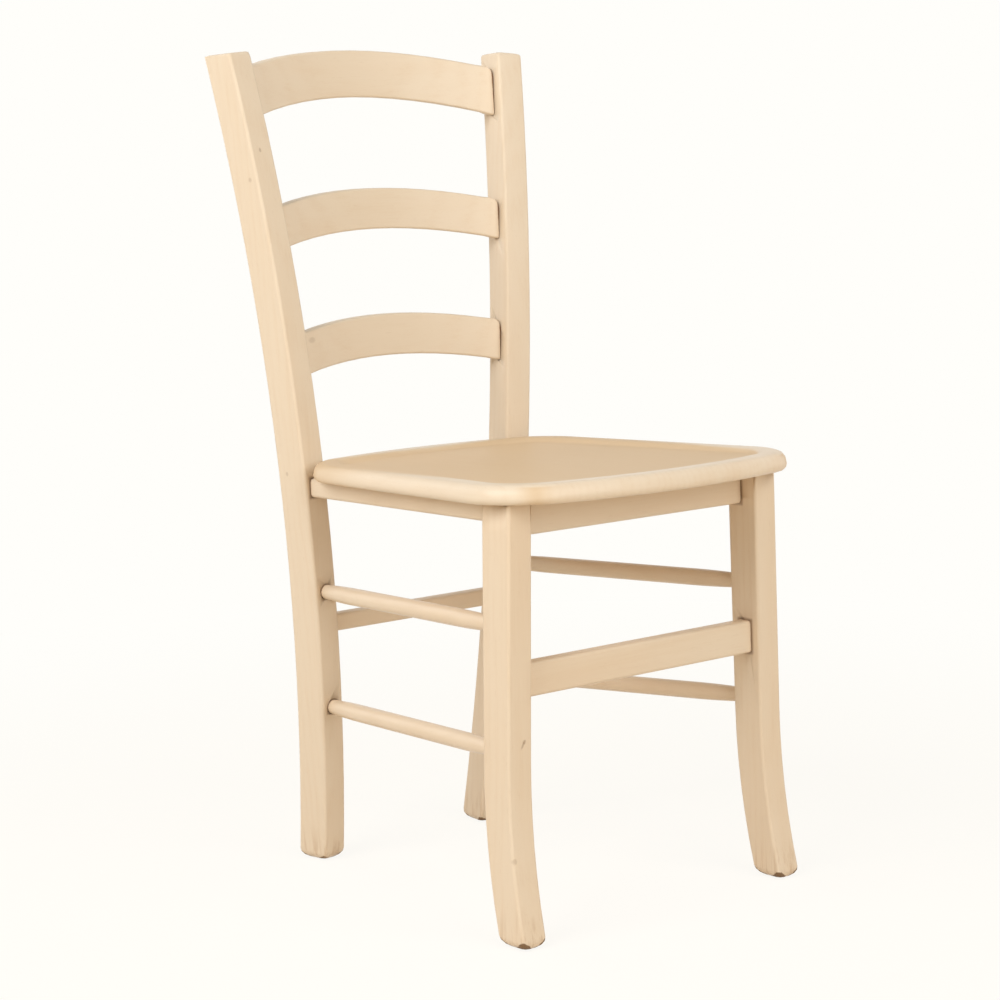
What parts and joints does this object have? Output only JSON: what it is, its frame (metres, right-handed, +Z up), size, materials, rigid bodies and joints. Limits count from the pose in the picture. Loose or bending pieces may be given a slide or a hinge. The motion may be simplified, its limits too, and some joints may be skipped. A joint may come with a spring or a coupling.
{
  "type": "ladder-back wooden chair",
  "caption": "Ladder-back wooden dining chair: back posts curving rearwards, bent and arched slats, a dished solid seat, front legs with swept feet, flat and turned stretchers.",
  "frame": {"origin": "on the floor, under the middle of the chair's bounding box", "axes": "+Z up, +X to the right of a viewer facing the chair, +Y from the seat's front edge to the back"},
  "size_m": [0.4188, 0.5354, 0.8873],
  "materials": {
    "lacquered_wood": "pale close-grained wood under a satin lacquer, with brown stain in the joints and at the foot ends",
    "plain_wood": "sawn wood, unlacquered",
    "screw_steel": "zinc-plated steel"
  },
  "bodies": {
    "root": {"back_post_left": "lacquered_wood", "back_post_right": "lacquered_wood", "corner_block_front_left": "plain_wood", "corner_block_front_right": "plain_wood", "corner_block_rear_left": "plain_wood", "corner_block_rear_right": "plain_wood", "front_leg_left": "lacquered_wood", "front_leg_right": "lacquered_wood", "front_rail": "lacquered_wood", "front_rail_screw_left": "screw_steel", "front_rail_screw_right": "screw_steel", "front_stretcher": "lacquered_wood", "lower_side_stretcher_left": "lacquered_wood", "lower_side_stretcher_right": "lacquered_wood", "lower_slat": "lacquered_wood", "middle_slat": "lacquered_wood", "rear_rail": "lacquered_wood", "rear_rail_screw_left": "screw_steel", "rear_rail_screw_right": "screw_steel", "rear_stretcher": "lacquered_wood", "seat_panel": "lacquered_wood", "seat_screw_front_left": "screw_steel", "seat_screw_front_right": "screw_steel", "seat_screw_rear_left": "screw_steel", "seat_screw_rear_right": "screw_steel", "side_rail_left": "lacquered_wood", "side_rail_right": "lacquered_wood", "side_rail_screw_front_left": "screw_steel", "side_rail_screw_front_right": "screw_steel", "side_rail_screw_rear_left": "screw_steel", "side_rail_screw_rear_right": "screw_steel", "top_slat": "lacquered_wood", "upper_side_stretcher_left": "lacquered_wood", "upper_side_stretcher_right": "lacquered_wood"}
  },
  "joints": []
}
